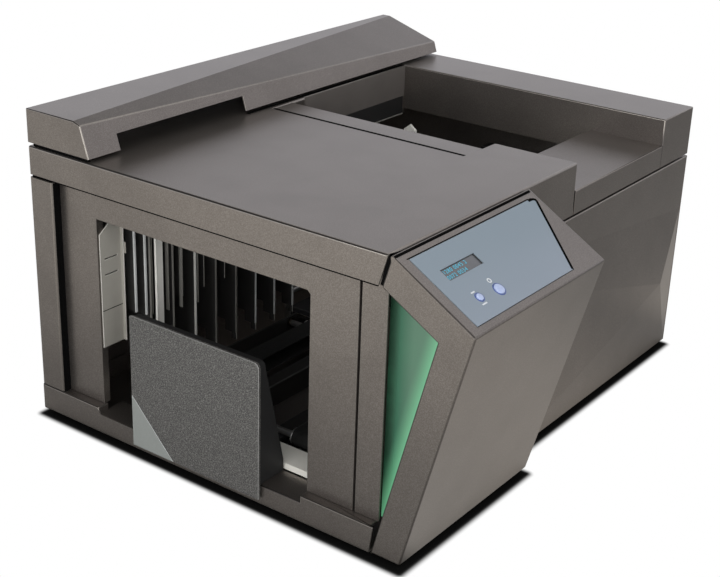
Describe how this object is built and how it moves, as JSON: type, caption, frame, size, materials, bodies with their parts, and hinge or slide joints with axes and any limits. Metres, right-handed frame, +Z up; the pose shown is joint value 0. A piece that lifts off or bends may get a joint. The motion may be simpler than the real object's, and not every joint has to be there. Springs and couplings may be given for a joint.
{
  "type": "thermal binding machine",
  "caption": "Desktop thermal binding machine in folded sheet steel: rear hopper, front window with a sliding output stop, raised hinged cover and a mitred control housing at the side.",
  "frame": {"origin": "centre of the outline's box, on the surface that the feet stand on", "axes": "+X to the control housing's side, +Y from the window to the rear, +Z up"},
  "size_m": [0.6164, 0.709, 0.3955],
  "materials": {
    "coat": "fine speckled bronze-grey powder coat",
    "dark_coat": "satin black paint",
    "overlay": "blue-grey film overlay",
    "display": "dark glossy display window",
    "light": "green lit diffuser",
    "key": "pale blue domed key",
    "texture": "black leather-grain texture",
    "corner": "plain grey",
    "black": "satin black",
    "pale_steel": "light grey",
    "steel": "bright steel",
    "plate": "plain machined",
    "white": "off-white",
    "rubber": "matte black",
    "board": "green circuit board"
  },
  "bodies": {
    "body": {"base_tray": "coat", "left_side_panel": "coat", "right_side_panel": "coat", "rear_panel": "coat", "front_panel": "coat", "right_pillar": "coat", "front_top_cover": "coat", "rear_top_cover": "coat", "hopper_front_guide": "coat", "front_hinge_bracket": "steel", "rear_hinge_bracket": "steel", "control_housing": "coat", "panel_overlay": "overlay", "display": "display", "control_board": "board", "light_panel": "light", "led_board": "board", "window_side_plate": "pale_steel", "left_separator_comb": "dark_coat", "right_separator_comb": "dark_coat", "white_guide_strip": "white", "left_transport_frame": "dark_coat", "right_transport_frame": "dark_coat", "front_left_bearing": "steel", "front_right_bearing": "steel", "rear_left_bearing": "steel", "rear_right_bearing": "steel", "left_transport_belt": "rubber", "right_transport_belt": "rubber", "output_floor": "white", "left_slide_guide": "dark_coat", "right_slide_guide": "dark_coat", "heater_plate": "plate", "heater_pad": "plate", "heater_tray": "dark_coat", "left_pusher_rail": "steel", "right_pusher_rail": "steel", "drive_motor": "dark_coat", "drive_belt": "rubber", "power_supply": "pale_steel", "fan_housing": "black", "power_inlet": "black", "rocker_frame": "black", "front_left_foot": "rubber", "front_right_foot": "rubber", "rear_left_foot": "rubber", "rear_right_foot": "rubber"},
    "raised_cover": {"raised_cover": "coat"},
    "output_stop": {"stop_front_plate": "texture", "stop_corner_panel": "corner", "stop_support": "black"},
    "start_button": {"start_button": "key"},
    "stop_button": {"stop_button": "key"},
    "hopper_pusher": {"hopper_pusher": "dark_coat", "pusher_handle": "white"},
    "rear_belt_shaft": {"rear_belt_shaft": "steel"},
    "front_belt_shaft": {"front_belt_shaft": "steel"},
    "motor_pulley": {"motor_pulley": "steel"},
    "fan_rotor": {"fan_rotor": "black"},
    "rocker_switch": {"rocker_switch": "black"}
  },
  "joints": [
    {"name": "raised_cover_hinge", "type": "hinge", "parent": "body", "child": "raised_cover", "pos_m": [-0.3002, 0.001, 0.363], "axis": [0, -1, 0], "range_deg": [0, 75]},
    {"name": "output_stop_slide", "type": "slide", "parent": "body", "child": "output_stop", "axis": [0, -1, 0], "range_m": [0, 0.15]},
    {"name": "start_button_press", "type": "slide", "parent": "body", "child": "start_button", "axis": [-0.5001, 0, -0.866], "range_m": [0, 0.0015], "stiffness_N_per_m": 600},
    {"name": "stop_button_press", "type": "slide", "parent": "body", "child": "stop_button", "axis": [-0.5001, 0, -0.866], "range_m": [0, 0.0015], "stiffness_N_per_m": 600},
    {"name": "hopper_pusher_slide", "type": "slide", "parent": "body", "child": "hopper_pusher", "axis": [0, -1, 0], "range_m": [0, 0.19]},
    {"name": "rear_belt_shaft_spin", "type": "hinge", "parent": "body", "child": "rear_belt_shaft", "pos_m": [-0.0507, -0.015, 0.046], "axis": [1, 0, 0], "continuous": true},
    {"name": "front_belt_shaft_spin", "type": "hinge", "parent": "body", "child": "front_belt_shaft", "pos_m": [-0.0507, -0.256, 0.046], "axis": [1, 0, 0], "continuous": true},
    {"name": "motor_pulley_spin", "type": "hinge", "parent": "body", "child": "motor_pulley", "pos_m": [0.1208, 0.091, 0.046], "axis": [1, 0, 0], "continuous": true},
    {"name": "fan_rotor_spin", "type": "hinge", "parent": "body", "child": "fan_rotor", "pos_m": [-0.0582, 0.3352, 0.19], "axis": [0, 1, 0], "continuous": true},
    {"name": "rocker_switch_tip", "type": "hinge", "parent": "body", "child": "rocker_switch", "pos_m": [0.0968, 0.349, 0.118], "axis": [-1, 0, 0], "range_deg": [0, 16]}
  ],
  "couplings": [
    {"joint": "front_belt_shaft_spin", "follows": "rear_belt_shaft_spin", "ratio": 1},
    {"joint": "motor_pulley_spin", "follows": "rear_belt_shaft_spin", "ratio": 2}
  ]
}
